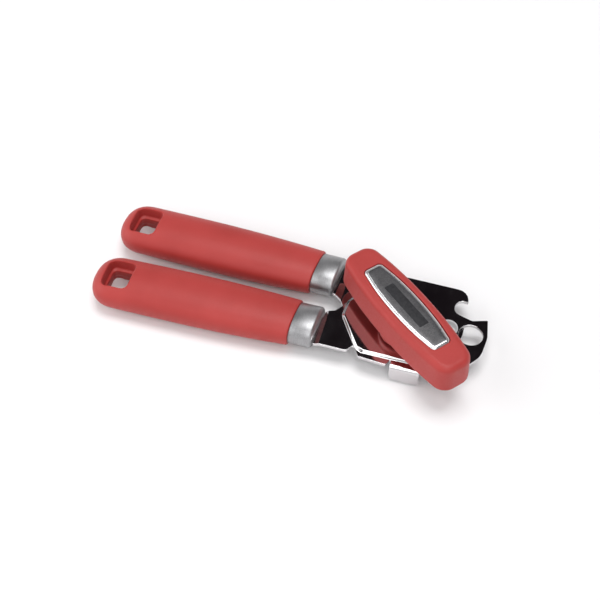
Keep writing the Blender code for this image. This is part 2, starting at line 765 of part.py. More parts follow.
def make_cutter(steel, zinc):
    bore = STUD_RADIUS + RUNNING_GAP
    hub_top = GEAR_BOTTOM_Z - SEAT_GAP
    disc_top = GEAR_BOTTOM_Z - 2 * PLATE_GAP - FEED_THICKNESS
    disc_low = disc_top - CUTTER_THICKNESS
    profile = [
        (bore, disc_low),
        (CUTTER_RADIUS - CUTTER_BEVEL, disc_low),
        (CUTTER_RADIUS, disc_top - CUTTER_EDGE),
        (CUTTER_RADIUS, disc_top),
        (CUTTER_HUB_RADIUS, disc_top),
        (CUTTER_HUB_RADIUS, hub_top),
        (bore, hub_top),
    ]
    finish("cutter_wheel", moved(turned(profile, closed=True), CUTTER_AXIS), CUTTER_AXIS, steel)
    radius, thickness = STUD_HEAD
    head_top = disc_low - SEAT_GAP
    top = BACK_MIDDLE_Z + SHEET / 2
    stud = [(0.0, head_top - thickness), (radius - EDGE_BREAK, head_top - thickness)]
    stud += [(radius, head_top - thickness + EDGE_BREAK), (radius, head_top)]
    stud += [(STUD_RADIUS, head_top), (STUD_RADIUS, top), (0.0, top)]
    finish("cutter_stud", moved(turned(stud), CUTTER_AXIS), PIVOT, zinc)


def domed_head(radius, thickness, low):
    """The profile of a low dome, from its seat's rim to its crown on the axis."""
    points = [(radius, low)]
    for i in range(7):
        angle = math.pi / 2 * i / 6
        height = low + RIVET_RIM + (thickness - RIVET_RIM) * math.sin(angle)
        points.append((radius * math.cos(angle) ** 0.8 if i < 6 else 0.0, height))
    return points


def make_pivot(polished, zinc):
    radius, thickness = RIVET_HEAD
    washer_top = BACK_MIDDLE_Z - SHEET / 2 - SEAT_GAP
    washer_low = washer_top - PIVOT_WASHER[1]
    head_low = washer_low - SEAT_GAP
    seat = FRONT_TOP_Z + SEAT_GAP
    profile = [(0.0, head_low - thickness), (radius - RIVET_BEVEL, head_low - thickness)]
    profile += [(radius, head_low - thickness + RIVET_BEVEL), (radius, head_low)]
    profile += [(RIVET_RADIUS, head_low), (RIVET_RADIUS, seat)]
    profile += domed_head(radius, thickness, seat)
    finish("pivot_rivet", moved(turned(profile), PIVOT), PIVOT, polished)
    bore = RIVET_RADIUS + SEAT_GAP
    ring = washer(bore, PIVOT_WASHER[0], washer_low, washer_top)
    finish("pivot_washer", moved(ring, PIVOT), PIVOT, zinc)


# The knob and what is set into it.


def knob_outline(inset):
    return lens(KNOB_HALF, KNOB_CORNER, inset)


def knob_rings():
    """The wing from its hub up: a rounded lower edge, a drafted wall and a fuller top edge."""
    low, top = WING_BOTTOM_Z, WING_TOP_Z
    edge = 1.0
    heights = [(edge, low), (edge * 0.3, low + edge * 0.3), (0.0, low + edge)]
    wall_top = top - KNOB_TOP_ROUNDING
    for i in range(7):
        angle = math.pi / 2 * i / 6
        inset = KNOB_DRAFT + KNOB_TOP_ROUNDING * (1 - math.cos(angle))
        heights.append((inset, wall_top + KNOB_TOP_ROUNDING * math.sin(angle)))
    return [level(knob_outline(inset), z) for inset, z in heights]


def inlay(inset):
    return lens(INLAY_HALF, INLAY_CORNER, inset)


def make_knob(red):
    knob = finish("knob_grip", moved(loft(knob_rings()), SHAFT, KNOB_TURN), SHAFT, red)
    boolean(knob, drill(HUB_RADIUS, HUB_BOTTOM_Z, WING_BOTTOM_Z + OVERSHOOT, SHAFT), "UNION")
    bore_top = WING_BOTTOM_Z + SHAFT_IN_KNOB + SEAT_GAP
    bore = drill(SHAFT_RADIUS + SEAT_GAP, HUB_BOTTOM_Z - OVERSHOOT, bore_top, SHAFT)
    boolean(knob, bore)
    pocket = prism(inlay(0.0), WING_TOP_Z - INLAY_DEPTH, WING_TOP_Z + OVERSHOOT)
    boolean(knob, moved(pocket, SHAFT, KNOB_TURN))
    return knob


def make_inlay(polished, dark, black):
    low = WING_TOP_Z - INLAY_DEPTH + SEAT_GAP
    rim_top = WING_TOP_Z + BEZEL_PROUD
    gap = 2 * SEAT_GAP
    rings = [
        level(inlay(gap), low),
        level(inlay(gap), rim_top - 0.6 * BEZEL_BEVEL),
        level(inlay(gap + BEZEL_BEVEL), rim_top),
        level(inlay(gap + BEZEL_RIM), rim_top),
        level(inlay(gap + BEZEL_RIM), low),
    ]
    bm = bmesh.new()
    skin(bm, [[bm.verts.new(point) for point in ring] for ring in rings], closed=True)
    finish("knob_bezel", moved(bm, SHAFT, KNOB_TURN), SHAFT, polished)
    inner = inlay(gap + BEZEL_RIM + SEAT_GAP)
    badge_top = rim_top - BADGE_SUNK
    plate = prism(inner, low, badge_top)
    finish("knob_badge", moved(plate, SHAFT, KNOB_TURN), SHAFT, dark)
    half_length, half_width, thickness = LABEL
    outline = rectangle(2 * half_length, 2 * half_width, 0.5)
    label = prism(outline, badge_top + LABEL_SEAT, badge_top + thickness)
    finish("knob_label", moved(label, SHAFT, KNOB_TURN), SHAFT, black)


def make_surfaces():
    return {
        "red": material("soft_red", (0.49, 0.075, 0.066), 0.0, 0.5),
        "steel": material("polished_steel", (0.62, 0.61, 0.62), 1.0, 0.08),
        "brushed": material("brushed_steel", (0.6, 0.6, 0.61), 1.0, 0.32),
        "polished": material("bright_chrome", (0.8, 0.8, 0.8), 1.0, 0.1),
        "zinc": material("zinc_plate", (0.5, 0.5, 0.52), 1.0, 0.4),
        "hardened": material("hardened_steel", (0.42, 0.42, 0.44), 1.0, 0.3),
        "bronze": material("sintered_bronze", (0.45, 0.33, 0.2), 1.0, 0.45),
        "nylon": material("black_nylon", (0.03, 0.03, 0.03), 0.0, 0.6),
        "dark": material("textured_grey", (0.2, 0.2, 0.21), 0.8, 0.45),
        "black": material("black_enamel", (0.03, 0.03, 0.033), 0.2, 0.35),
    }


def main():
    clear_scene()
    surfaces = make_surfaces()
    make_front_plate(surfaces["steel"])
    make_back_plate(surfaces["steel"])
    make_handle("lower", LOWER_FRONT, LOWER_TURN, LOWER_GRIP_LENGTH, HANDLE_Z, surfaces, SHAFT)
    make_handle("upper", UPPER_FRONT, UPPER_TURN, UPPER_GRIP_LENGTH, UPPER_TANG_Z, surfaces, PIVOT)
    make_pivot(surfaces["polished"], surfaces["zinc"])
    make_bushing(surfaces["bronze"])
    make_thrust_washer(surfaces["zinc"])
    make_shaft(surfaces["zinc"])
    half_pitch = math.pi / GEAR_TEETH
    quarter = math.pi / 2
    make_gear("drive_gear", SHAFT, SHAFT_RADIUS + SEAT_GAP, quarter, surfaces["hardened"])
    make_gear(
        "cutter_gear", CUTTER_AXIS, STUD_RADIUS + RUNNING_GAP, half_pitch - quarter, surfaces["hardened"]
    )
    make_feed_wheel(surfaces["hardened"])
    make_cutter(surfaces["hardened"], surfaces["zinc"])
    make_knob(surfaces["red"])
    make_inlay(surfaces["polished"], surfaces["dark"], surfaces["black"])


main()
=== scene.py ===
# %% [markdown]
# # A manual can opener
# Two long levers are riveted together. Squeezing their red grips brings a cutting wheel and a feed wheel
# together on a can's rim, and turning the knob walks the opener round the can. The CAD model gives every
# part its place and size. This lesson gives the parts their real finish: soft moulded edges on the
# plastic, fine bevels on the pressed steel, and a surface for each material.

import math

import bmesh
import bpy
from mathutils import Matrix, Vector


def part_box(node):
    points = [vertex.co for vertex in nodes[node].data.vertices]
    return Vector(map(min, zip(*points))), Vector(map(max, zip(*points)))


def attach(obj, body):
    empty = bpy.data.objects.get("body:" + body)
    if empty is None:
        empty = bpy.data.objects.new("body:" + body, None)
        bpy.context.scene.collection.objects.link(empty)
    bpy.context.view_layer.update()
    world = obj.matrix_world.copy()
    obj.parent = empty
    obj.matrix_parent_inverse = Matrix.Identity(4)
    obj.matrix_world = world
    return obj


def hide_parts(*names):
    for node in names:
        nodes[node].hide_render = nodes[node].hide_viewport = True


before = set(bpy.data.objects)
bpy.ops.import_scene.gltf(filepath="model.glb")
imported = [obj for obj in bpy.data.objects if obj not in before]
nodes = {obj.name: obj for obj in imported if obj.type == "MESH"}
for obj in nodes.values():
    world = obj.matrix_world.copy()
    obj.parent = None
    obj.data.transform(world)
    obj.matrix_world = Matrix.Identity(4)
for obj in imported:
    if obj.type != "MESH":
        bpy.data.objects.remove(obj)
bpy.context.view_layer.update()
MM = 0.001

# %% [markdown]
# ## Places to measure from
# The drive shaft stands upright under the knob, so the middle of its box is the axis that the head is
# laid out from. Each handle is a straight line in plan. It is given by the point where its grip meets the
# steel cap, in millimetres from that axis, and by a small turn in degrees, because the grips open towards
# their ends. The height of its tang is measured from the middle of the grip.

# %% Axes and handles
shaft_low, shaft_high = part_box("drive_shaft")
DRIVE_AXIS = Vector(((shaft_low.x + shaft_high.x) / 2, (shaft_low.y + shaft_high.y) / 2, 0.0))
HANDLE_Z = 10 * MM
HANDLES = {
    "upper": {"front": (-53.6, 27.9), "turn": -1.4, "length": 114.2, "tang_z": 0.6},
    "lower": {"front": (-55.6, -8.15), "turn": 0.8, "length": 112.2, "tang_z": 0.0},
}
KNOB_TURN = math.radians(-40.5)


def handle_place(side):
    """The matrix from a handle's own frame to the world: X along it, origin at the grip's face."""
    handle = HANDLES[side]
    front = DRIVE_AXIS + Vector((handle["front"][0] * MM, handle["front"][1] * MM, HANDLE_Z))
    return Matrix.Translation(front) @ Matrix.Rotation(math.radians(handle["turn"]), 4, "Z")


print("drive axis at", [round(value / MM, 1) for value in DRIVE_AXIS[:2]], "mm")

# %% [markdown]
# ## Small helpers
# A piece is drawn in a bmesh in millimetres, which keeps the numbers readable, and its place is written
# into its vertices, so its object stays at the origin. Smooth shading hides the facets, and the edges
# that are meant to be crisp are marked by angle.

# %% Helpers that make a piece
CRISP = math.radians(35)


def shade_round(mesh, crisp=CRISP):
    """Shades a mesh smooth, and keeps the edges that turn more than an angle crisp."""
    mesh.shade_smooth()
    mesh.set_sharp_from_angle(angle=crisp)


def new_piece(name, bm, place=Matrix.Identity(4), crisp=CRISP):
    """Writes a bmesh in millimetres, at its place, into a new object."""
    bmesh.ops.recalc_face_normals(bm, faces=bm.faces)
    bm.transform(place @ Matrix.Scale(MM, 4))
    mesh = bpy.data.meshes.new(name)
    bm.to_mesh(mesh)
    bm.free()
    shade_round(mesh, crisp)
    piece = bpy.data.objects.new(name, mesh)
    bpy.context.scene.collection.objects.link(piece)
    return piece


def settle(piece):
    """Keeps what the modifiers made as the piece's own mesh."""
    graph = bpy.context.evaluated_depsgraph_get()
    mesh = bpy.data.meshes.new_from_object(piece.evaluated_get(graph))
    piece.modifiers.clear()
    piece.data = mesh
    return piece


# %% [markdown]
# ## Cut, soften and dress
# A Boolean leaves knife edges, which soft plastic doesn't have. So a moulded piece is rebuilt in small even
# So a moulded piece is rebuilt in small even
# # quads, and a few passes of smoothing round its edges by a quad or two. Dressing a finished piece gives
# it
# # its material and parents it to the body that carries it.

# %% Helpers that finish a piece
SOFT_VOXEL = 0.4


def cut(piece, tools, operation="DIFFERENCE"):
    """Cuts other closed pieces out of this one, or joins them on, and removes them."""
    for tool in tools:
        modifier = piece.modifiers.new(tool.name, "BOOLEAN")
        modifier.operation = operation
        modifier.solver = "EXACT"
        modifier.object = tool
    settle(piece)
    for tool in tools:
        bpy.data.objects.remove(tool)
    return piece


def soften(piece, passes):
    """Rebuilds a moulded piece in small even quads and relaxes them, so that its edges turn soft."""
    remesh = piece.modifiers.new("even quads", "REMESH")
    remesh.mode = "VOXEL"
    remesh.voxel_size = SOFT_VOXEL * MM
    settle(piece)
    bm = bmesh.new()
    bm.from_mesh(piece.data)
    for _ in range(passes):
        bmesh.ops.smooth_vert(
            bm, verts=bm.verts, factor=0.5, use_axis_x=True, use_axis_y=True, use_axis_z=True
        )
    bm.to_mesh(piece.data)
    bm.free()
    piece.data.shade_smooth()
    return piece


def dress(piece, body, finish, replaced=None):
    """Gives a piece its finish and the body that it rides on, and hides the CAD node that it stands for."""
    piece.data.materials.clear()
    piece.data.materials.append(finish)
    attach(piece, body)
    if replaced:
        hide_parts(replaced)
    count = sum(len(face.vertices) - 2 for face in piece.data.polygons)
    print(f"{piece.name}: {count} triangles, rides on {body}")


# %% [markdown]
# ## Small helpers for finishes
# Every finish is a Principled shader with a few textures in front of it. All of them read Object
# coordinates. The pieces sit at the origin, so these are metres in the world, and a texture scale of
# 1000 gives one feature per millimetre.

# %% Helpers for finishes
def add(tree, kind, inputs=(), **settings):
    """Adds a node. An input that is a socket is linked, and any other is set as a value."""
    node = tree.nodes.new("ShaderNode" + kind)
    for key, value in settings.items():
        setattr(node, key, value)
    for key, value in dict(inputs).items():
        if isinstance(value, bpy.types.NodeSocket):
            tree.links.new(value, node.inputs[key])
        else:
            node.inputs[key].default_value = value
    return node


def start_finish(name, metallic):
    """A new material with its shader and the object coordinates."""
    made = bpy.data.materials.new(name)
    made.use_nodes = True
    tree = made.node_tree
    shader = tree.nodes["Principled BSDF"]
    shader.inputs["Metallic"].default_value = metallic
    coordinates = add(tree, "TexCoord").outputs["Object"]
    print("finish:", name)
    return made, tree, shader, coordinates


def stretched(tree, coordinates, scale, turn=(0.0, 0.0, 0.0)):
    """Coordinates with a scale for each direction: a small one draws the texture out that way."""
    turned = add(tree, "Mapping", {"Vector": coordinates, "Rotation": turn, "Scale": scale})
    return turned.outputs["Vector"]


def speckle(tree, vector, scale, detail=2.0, roughness=0.5):
    """Soft noise, with scale features to the metre."""
    values = {"Vector": vector, "Scale": scale, "Detail": detail, "Roughness": roughness}
    return add(tree, "TexNoise", values).outputs["Fac"]


def spread(tree, value, low, high, start=0.3, end=0.7):
    """Moves a texture's value onto the range from low to high."""
    limits = {"Value": value, "From Min": start, "From Max": end, "To Min": low, "To Max": high}
    return add(tree, "MapRange", limits).outputs["Result"]


def shade(tree, value, dark, pale, start=0.3, end=0.7):
    """Turns a texture's value into a colour between two."""
    ramp = add(tree, "ValToRGB", {"Fac": value})
    first, last = ramp.color_ramp.elements
    first.position, last.position = start, end
    first.color, last.color = (*dark, 1.0), (*pale, 1.0)
    return ramp.outputs["Color"]


def combine(tree, first, second, operation):
    """Adds, multiplies or compares two values. The second may be a plain number."""
    return add(tree, "Math", {0: first, 1: second}, operation=operation).outputs["Value"]


def raise_by(tree, height, depth, strength, under=None):
    """Bump of a real depth, in millimetres, on top of another bump."""
    values = {"Height": height, "Distance": depth * MM, "Strength": strength}
    if under:
        values["Normal"] = under
    return add(tree, "Bump", values).outputs["Normal"]


def connect(tree, shader, **sockets):
    """Links colour, roughness and normal to the shader."""
    names = {"colour": "Base Color", "roughness": "Roughness", "normal": "Normal"}
    for key, socket in sockets.items():
        tree.links.new(socket, shader.inputs[names[key]])


# %% [markdown]
# ## Soft-touch red
# The grips and the knob are moulded plastic with a satin, slightly rubbery skin. It scatters light
# softly, has a very fine spark-eroded grain from the mould, and is a little smoother where fingers have
# rubbed the raised edges. The colour drifts slightly over the surface, as in a thick moulding.

# %% Soft-touch red
def make_soft_red():
    made, tree, shader, place = start_finish("soft_touch_red", 0.0)
    drift = speckle(tree, place, 45.0, detail=3.0)
    colour = shade(tree, drift, (0.34, 0.026, 0.022), (0.39, 0.034, 0.03))
    grain = speckle(tree, place, 2600.0, detail=3.0, roughness=0.6)
    pores = speckle(tree, place, 900.0)
    rubbed = add(tree, "NewGeometry").outputs["Pointiness"]
    smoother = spread(tree, rubbed, 0.0, -0.08, start=0.5, end=0.58)
    satin = spread(tree, pores, 0.46, 0.56)
    roughness = combine(tree, satin, smoother, "ADD")
    coarse = raise_by(tree, pores, 0.02, strength=0.35)
    normal = raise_by(tree, grain, 0.012, strength=0.5, under=coarse)
    connect(tree, shader, colour=colour, roughness=roughness, normal=normal)
    shader.inputs["Specular IOR Level"].default_value = 0.42
    shader.inputs["Sheen Weight"].default_value = 0.05
    shader.inputs["Sheen Roughness"].default_value = 0.45
    return made


SOFT_RED = make_soft_red()

# %% [markdown]
# ## Polished plate
# The levers are pressed from steel sheet, polished and bright plated, so their flat faces are mirrors
# that take the colour of what they reflect. Real polish is never perfect: faint hairlines from the
# buffing wheel and a slow waviness from the press break up the edge of a reflection.

# %% Polished plate
def make_polished_plate():
    made, tree, shader, place = start_finish("polished_plate", 1.0)
    along = stretched(tree, place, (40.0, 1500.0, 1500.0), turn=(0.0, 0.0, 0.35))
    across = stretched(tree, place, (1300.0, 60.0, 900.0), turn=(0.0, 0.0, -0.2))
    hairlines = speckle(tree, along, 1.0, detail=3.0, roughness=0.7)
    strays = speckle(tree, across, 1.0, roughness=0.6)
    smudges = speckle(tree, place, 70.0, detail=3.0)
    lines = combine(tree, hairlines, strays, "MULTIPLY")
    scratched = spread(tree, lines, 0.0, 0.05, start=0.25, end=0.45)
    handled = spread(tree, smudges, 0.05, 0.1)
    roughness = combine(tree, handled, scratched, "ADD")
    colour = shade(tree, smudges, (0.6, 0.585, 0.595), (0.68, 0.665, 0.675))
    swell = speckle(tree, place, 110.0, detail=1.0)
    waves = raise_by(tree, swell, 0.012, strength=0.25)
    normal = raise_by(tree, lines, 0.0012, strength=0.4, under=waves)
    connect(tree, shader, colour=colour, roughness=roughness, normal=normal)
    return made


POLISHED_PLATE = make_polished_plate()

# %% [markdown]
# ## Brushed cap
# The caps are drawn steel cups, brushed while they spin, so fine lines run round each cup. The lines are
# noise squeezed along the handle and drawn out round it. Mixed with a finer grit, they give both the
# colour and the relief.

# %% Brushed cap
def make_brushed_cap():
    made, tree, shader, place = start_finish("brushed_cap", 1.0)
    drawn = stretched(tree, place, (4200.0, 160.0, 160.0))
    rings = speckle(tree, drawn, 1.0, detail=4.0, roughness=0.65)
    grit = speckle(tree, place, 2300.0, roughness=0.6)
    tone = speckle(tree, place, 120.0)
    both = combine(tree, rings, grit, "ADD")
    lines = combine(tree, both, 0.5, "MULTIPLY")
    colour = shade(tree, lines, (0.28, 0.28, 0.288), (0.44, 0.44, 0.448), start=0.35, end=0.65)
    roughness = spread(tree, tone, 0.38, 0.44)
    normal = raise_by(tree, lines, 0.012, strength=0.7)
    connect(tree, shader, colour=colour, roughness=roughness, normal=normal)
    return made


BRUSHED_CAP = make_brushed_cap()

# %% [markdown]
# ## Inlay finishes
# The inlay in the knob is three things: a bright polished rim, a satin dark grey plate with a fine
# pebbled texture, and a smooth darker label on it. The label is left plain.

# %% Inlay finishes
def make_bright_rim():
    made, tree, shader, place = start_finish("bright_rim", 1.0)
    drawn = stretched(tree, place, (1200.0, 120.0, 400.0))
    marks = speckle(tree, drawn, 1.0, detail=3.0, roughness=0.6)
    clouds = speckle(tree, place, 160.0)
    colour = shade(tree, clouds, (0.78, 0.78, 0.79), (0.87, 0.87, 0.88))
    roughness = spread(tree, marks, 0.26, 0.34)
    normal = raise_by(tree, marks, 0.003, strength=0.3)
    connect(tree, shader, colour=colour, roughness=roughness, normal=normal)
    return made


def make_pebbled_grey():
    made, tree, shader, place = start_finish("pebbled_grey", 0.85)
    pebbles = add(tree, "TexVoronoi", {"Vector": place, "Scale": 1500.0}, feature="SMOOTH_F1")
    height = pebbles.outputs["Distance"]
    clouds = speckle(tree, place, 140.0, detail=3.0)
    flecks = speckle(tree, place, 1900.0)
    colour = shade(tree, flecks, (0.085, 0.084, 0.088), (0.16, 0.158, 0.163))
    roughness = spread(tree, clouds, 0.36, 0.44)
    normal = raise_by(tree, height, 0.05, strength=0.45)
    connect(tree, shader, colour=colour, roughness=roughness, normal=normal)
    return made


def make_label_black():
    made, tree, shader, place = start_finish("label_black", 0.0)
    dust = speckle(tree, place, 800.0)
    colour = shade(tree, dust, (0.016, 0.016, 0.018), (0.03, 0.03, 0.033))
    clouds = speckle(tree, place, 200.0)
    roughness = spread(tree, clouds, 0.5, 0.6)
    normal = raise_by(tree, dust, 0.01, strength=0.3)
    connect(tree, shader, colour=colour, roughness=roughness, normal=normal)
    shader.inputs["Specular IOR Level"].default_value = 0.2
    return made


BRIGHT_RIM = make_bright_rim()
PEBBLED_GREY = make_pebbled_grey()
LABEL_BLACK = make_label_black()

# %% [markdown]
# ## Finishes of the working parts
# Under the head are the parts that do the work. The rivet is tumbled after heading, so it is bright but
# finely pitted. Zinc plate is dull with a faint cloudy spangle. The hardened wheels are ground, which
# leaves fine rings round their axis. A sintered bushing is pressed from bronze powder and shows tiny pores
# that hold oil. The cores in the grips are plain black nylon.

# %% Headed steel, zinc, ground steel, bronze and nylon
def make_headed_steel():
    made, tree, shader, place = start_finish("headed_steel", 1.0)
    pits = speckle(tree, place, 1500.0, detail=3.0, roughness=0.6)
    clouds = speckle(tree, place, 300.0)
    colour = shade(tree, clouds, (0.74, 0.74, 0.75), (0.84, 0.84, 0.85))
    roughness = spread(tree, pits, 0.3, 0.42)
    normal = raise_by(tree, pits, 0.01, strength=0.4)
    connect(tree, shader, colour=colour, roughness=roughness, normal=normal)
    return made


def make_zinc():
    made, tree, shader, place = start_finish("zinc_dull", 1.0)
    spangle = add(tree, "TexVoronoi", {"Vector": place, "Scale": 420.0}).outputs["Distance"]
    clouds = speckle(tree, place, 300.0, detail=3.0)
    colour = shade(tree, clouds, (0.42, 0.425, 0.44), (0.58, 0.585, 0.6))
    roughness = spread(tree, spangle, 0.34, 0.46, start=0.0, end=0.8)
    normal = raise_by(tree, clouds, 0.01, strength=0.4)
    connect(tree, shader, colour=colour, roughness=roughness, normal=normal)
    return made


def make_ground_steel(name, axis):
    """Ground steel with fine rings round an upright axis."""
    made, tree, shader, place = start_finish(name, 1.0)
    centred = add(tree, "Mapping", {"Vector": place, "Location": (-axis.x, -axis.y, 0.0)})
    values = {"Vector": centred.outputs["Vector"], "Scale": 900.0, "Distortion": 1.5, "Detail": 3.0}
    rings = add(tree, "TexWave", values, wave_type="RINGS", rings_direction="Z").outputs["Fac"]
    clouds = speckle(tree, place, 260.0, detail=3.0)
    colour = shade(tree, clouds, (0.36, 0.36, 0.375), (0.48, 0.48, 0.49))
    roughness = spread(tree, rings, 0.24, 0.36, start=0.0, end=1.0)
    normal = raise_by(tree, rings, 0.004, strength=0.5)
    connect(tree, shader, colour=colour, roughness=roughness, normal=normal)
    return made


def make_bronze():
    made, tree, shader, place = start_finish("porous_bronze", 1.0)
    pores = add(tree, "TexVoronoi", {"Vector": place, "Scale": 1800.0}).outputs["Distance"]
    oiled = speckle(tree, place, 350.0)
    colour = shade(tree, pores, (0.2, 0.13, 0.07), (0.5, 0.36, 0.2), start=0.05, end=0.35)
    roughness = spread(tree, oiled, 0.36, 0.55)
    normal = raise_by(tree, pores, 0.03, strength=0.5)
    connect(tree, shader, colour=colour, roughness=roughness, normal=normal)
    return made


def make_nylon():
    made, tree, shader, place = start_finish("moulded_nylon", 0.0)
    grain = speckle(tree, place, 1600.0, detail=3.0)
    drawn = stretched(tree, place, (60.0, 400.0, 400.0))
    flow = speckle(tree, drawn, 1.0)
    colour = shade(tree, flow, (0.022, 0.022, 0.023), (0.036, 0.036, 0.037))
    roughness = spread(tree, grain, 0.5, 0.64)
    normal = raise_by(tree, grain, 0.02, strength=0.4)
    connect(tree, shader, colour=colour, roughness=roughness, normal=normal)
    return made


cutter_low, cutter_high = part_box("cutter_wheel")
CUTTER_AXIS = (cutter_low + cutter_high) / 2
HEADED_STEEL = make_headed_steel()
ZINC = make_zinc()
DRIVE_STEEL = make_ground_steel("ground_steel_drive", DRIVE_AXIS)
CUTTER_STEEL = make_ground_steel("ground_steel_cutter", CUTTER_AXIS)
BRONZE = make_bronze()
NYLON = make_nylon()

# %% [markdown]
# ## Grips
# A grip is one plastic moulding: a rounded, slightly barrel-shaped bar with a blunt end, and near that
# end a pocket in each face with a narrower window between them, to hang the opener up. Modelling it with
# subdivision would need careful edge loops round the pocket. Here the bar is drawn as a ring that is
# extruded station by station, the pocket and the socket are cut out, and a remesh rounds every edge the
# way a mould does. The bar comes first. The ring's shape lies between an ellipse, at a squareness of 2,
# and a rectangle.

# %% A bar through stations
RING_STEPS = 80
ROUND_SQUARENESS = 2.3


def rounded_ring(bm, half, squareness, x):
    """A ring across the handle, round but a little squared, as a new loop of edges."""
    made = bmesh.ops.create_circle(bm, segments=RING_STEPS, radius=1.0)
    for vertex in made["verts"]:
        u, v = vertex.co.x, vertex.co.y
        across = math.copysign(abs(u) ** (2 / squareness), u) * half[0]
        up = math.copysign(abs(v) ** (2 / squareness), v) * half[1]
        vertex.co = (x, across, up)
    return bm.edges[:]


def extruded_bar(stations, squareness=ROUND_SQUARENESS):
    """A closed bar through stations (x, half width, half height)."""
    bm = bmesh.new()
    x, *half = stations[0]
    edges = rounded_ring(bm, half, squareness, x)
    bmesh.ops.contextual_create(bm, geom=edges)
    for next_x, *next_half in stations[1:]:
        made = bmesh.ops.extrude_edge_only(bm, edges=edges)
        verts = [item for item in made["geom"] if isinstance(item, bmesh.types.BMVert)]
        edges = [item for item in made["geom"] if isinstance(item, bmesh.types.BMEdge)]
        growth = (1.0, next_half[0] / half[0], next_half[1] / half[1])
        bmesh.ops.scale(bm, vec=growth, verts=verts)
        bmesh.ops.translate(bm, vec=(next_x - x, 0.0, 0.0), verts=verts)
        x, half = next_x, next_half
    bmesh.ops.contextual_create(bm, geom=edges)
    return bm


# %% [markdown]
# ## The grip's swell
# The bar is fullest at its belly and gets slimmer towards both ends along a parabola, which feels even in
# the hand. The blunt end closes like the end of a squared ellipse, in stations that come closer together
# towards the tip. The front face leans in plan with its steel cap, and the lean fades out behind it.

# %% Stations of a grip
GRIP_FRONT = Vector((13.3, 8.6))
GRIP_BELLY = Vector((15.2, 10.0))
GRIP_TAIL = Vector((15.0, 9.0))
BELLY_AT = 62.0
END_LENGTH = 14.0
END_ROUNDNESS = 2.4
FACE_SKEW = 0.087
SKEW_FADE = 30.0
FACE_EASE = [(0.0, 0.97), (0.3, 0.99), (0.8, 1.0)]
SIDE_STATIONS = 16
END_STATIONS = 12
TIP_SHARE = 0.3


def grip_half(distance, length):
    """Half width and half height at a distance from the front face."""
    if distance < BELLY_AT:
        share = (BELLY_AT - distance) / BELLY_AT
        return GRIP_BELLY - (GRIP_BELLY - GRIP_FRONT) * share**2
    share = (distance - BELLY_AT) / (length - BELLY_AT)
    return GRIP_BELLY - (GRIP_BELLY - GRIP_TAIL) * share**2


def grip_stations(length):
    """Stations from the face to just short of the tip, where a small flat face closes the bar."""
    straight = length - END_LENGTH
    places = FACE_EASE[:]
    places += [(straight * i / SIDE_STATIONS, 1.0) for i in range(1, SIDE_STATIONS + 1)]
    for i in range(1, END_STATIONS + 1):
        share = math.sin(math.pi / 2 * i / (END_STATIONS + TIP_SHARE))
        shrink = (1 - share**END_ROUNDNESS) ** (1 / END_ROUNDNESS)
        places.append((straight + END_LENGTH * share, shrink))
    return [(-d, *(grip_half(d, length) * shrink)) for d, shrink in places]


def slanted_face(bm):
    """Leans the grip's face in plan, as its steel cap leans."""
    for vertex in bm.verts:
        fade = max(0.0, 1 + min(0.0, vertex.co.x) / SKEW_FADE)
        vertex.co.x += FACE_SKEW * fade * vertex.co.y


# %% [markdown]
# ## The hang hole
# A pocket in each face of the grip narrows towards a straight window between them. The tool that cuts it
# is one rounded rectangle, lifted five times: it shrinks towards the window, steps in, runs straight
# through, steps out and grows again.

# %% The hang hole's tool
CORNER_STEPS = 8
POCKET_TOP = (15.6, 18.4)
POCKET_FLOOR = (13.6, 16.0)
POCKET_CORNER = 3.4
POCKET_REACH = 11.0
WINDOW = (12.2, 12.6)
WINDOW_HALF_DEPTH = 2.2
WINDOW_FORWARD = 0.5
HANG_FROM_END = 14.3


def rounded_plate(width, height, corner, z, centre=(0.0, 0.0)):
    """A flat rounded rectangle at a height, as one face."""
    bm = bmesh.new()
    bmesh.ops.create_grid(bm, x_segments=1, y_segments=1, size=0.5)
    bmesh.ops.scale(bm, vec=(width, height, 1.0), verts=bm.verts)
    bmesh.ops.bevel(
        bm, geom=bm.verts[:], offset=corner, offset_type="OFFSET", segments=CORNER_STEPS, profile=0.5,
        affect="VERTICES", material=-1,
    )
    bmesh.ops.translate(bm, vec=(*centre, z), verts=bm.verts)
    return bm


def lift_top(bm, face, rise, growth=(1.0, 1.0), slide=0.0):
    """Extrudes one face upwards, and grows and slides the new one about its own middle."""
    # The first face stays as the bottom. A later one would be left inside as a wall, so it goes.
    inside = any(len(edge.link_faces) > 1 for edge in face.edges)
    made = bmesh.ops.extrude_face_region(bm, geom=[face])
    top = [item for item in made["geom"] if isinstance(item, bmesh.types.BMFace)][0]
    if inside:
        bmesh.ops.delete(bm, geom=[face], context="FACES_ONLY")
    middle = top.calc_center_bounds()
    space = Matrix.Translation(-middle)
    bmesh.ops.scale(bm, vec=(*growth, 1.0), space=space, verts=top.verts)
    bmesh.ops.translate(bm, vec=(slide, 0.0, rise), verts=top.verts)
    return top


def hang_hole(length):
    """The tool that cuts pocket, window and pocket, from below the grip to above it."""
    shrink = [floor / top for floor, top in zip(POCKET_FLOOR, POCKET_TOP)]
    narrow = [window / floor for window, floor in zip(WINDOW, POCKET_FLOOR)]
    widen = [1 / value for value in narrow]
    grow = [1 / value for value in shrink]
    slope = POCKET_REACH - WINDOW_HALF_DEPTH
    bm = rounded_plate(*POCKET_TOP, POCKET_CORNER, -POCKET_REACH, (HANG_FROM_END - length, 0.0))
    face = bm.faces[:][0]
    face = lift_top(bm, face, slope, shrink)
    face = lift_top(bm, face, 0.0, narrow, WINDOW_FORWARD)
    face = lift_top(bm, face, 2 * WINDOW_HALF_DEPTH)
    face = lift_top(bm, face, 0.0, widen, -WINDOW_FORWARD)
    lift_top(bm, face, slope, grow)
    return new_piece("hang_hole", bm)


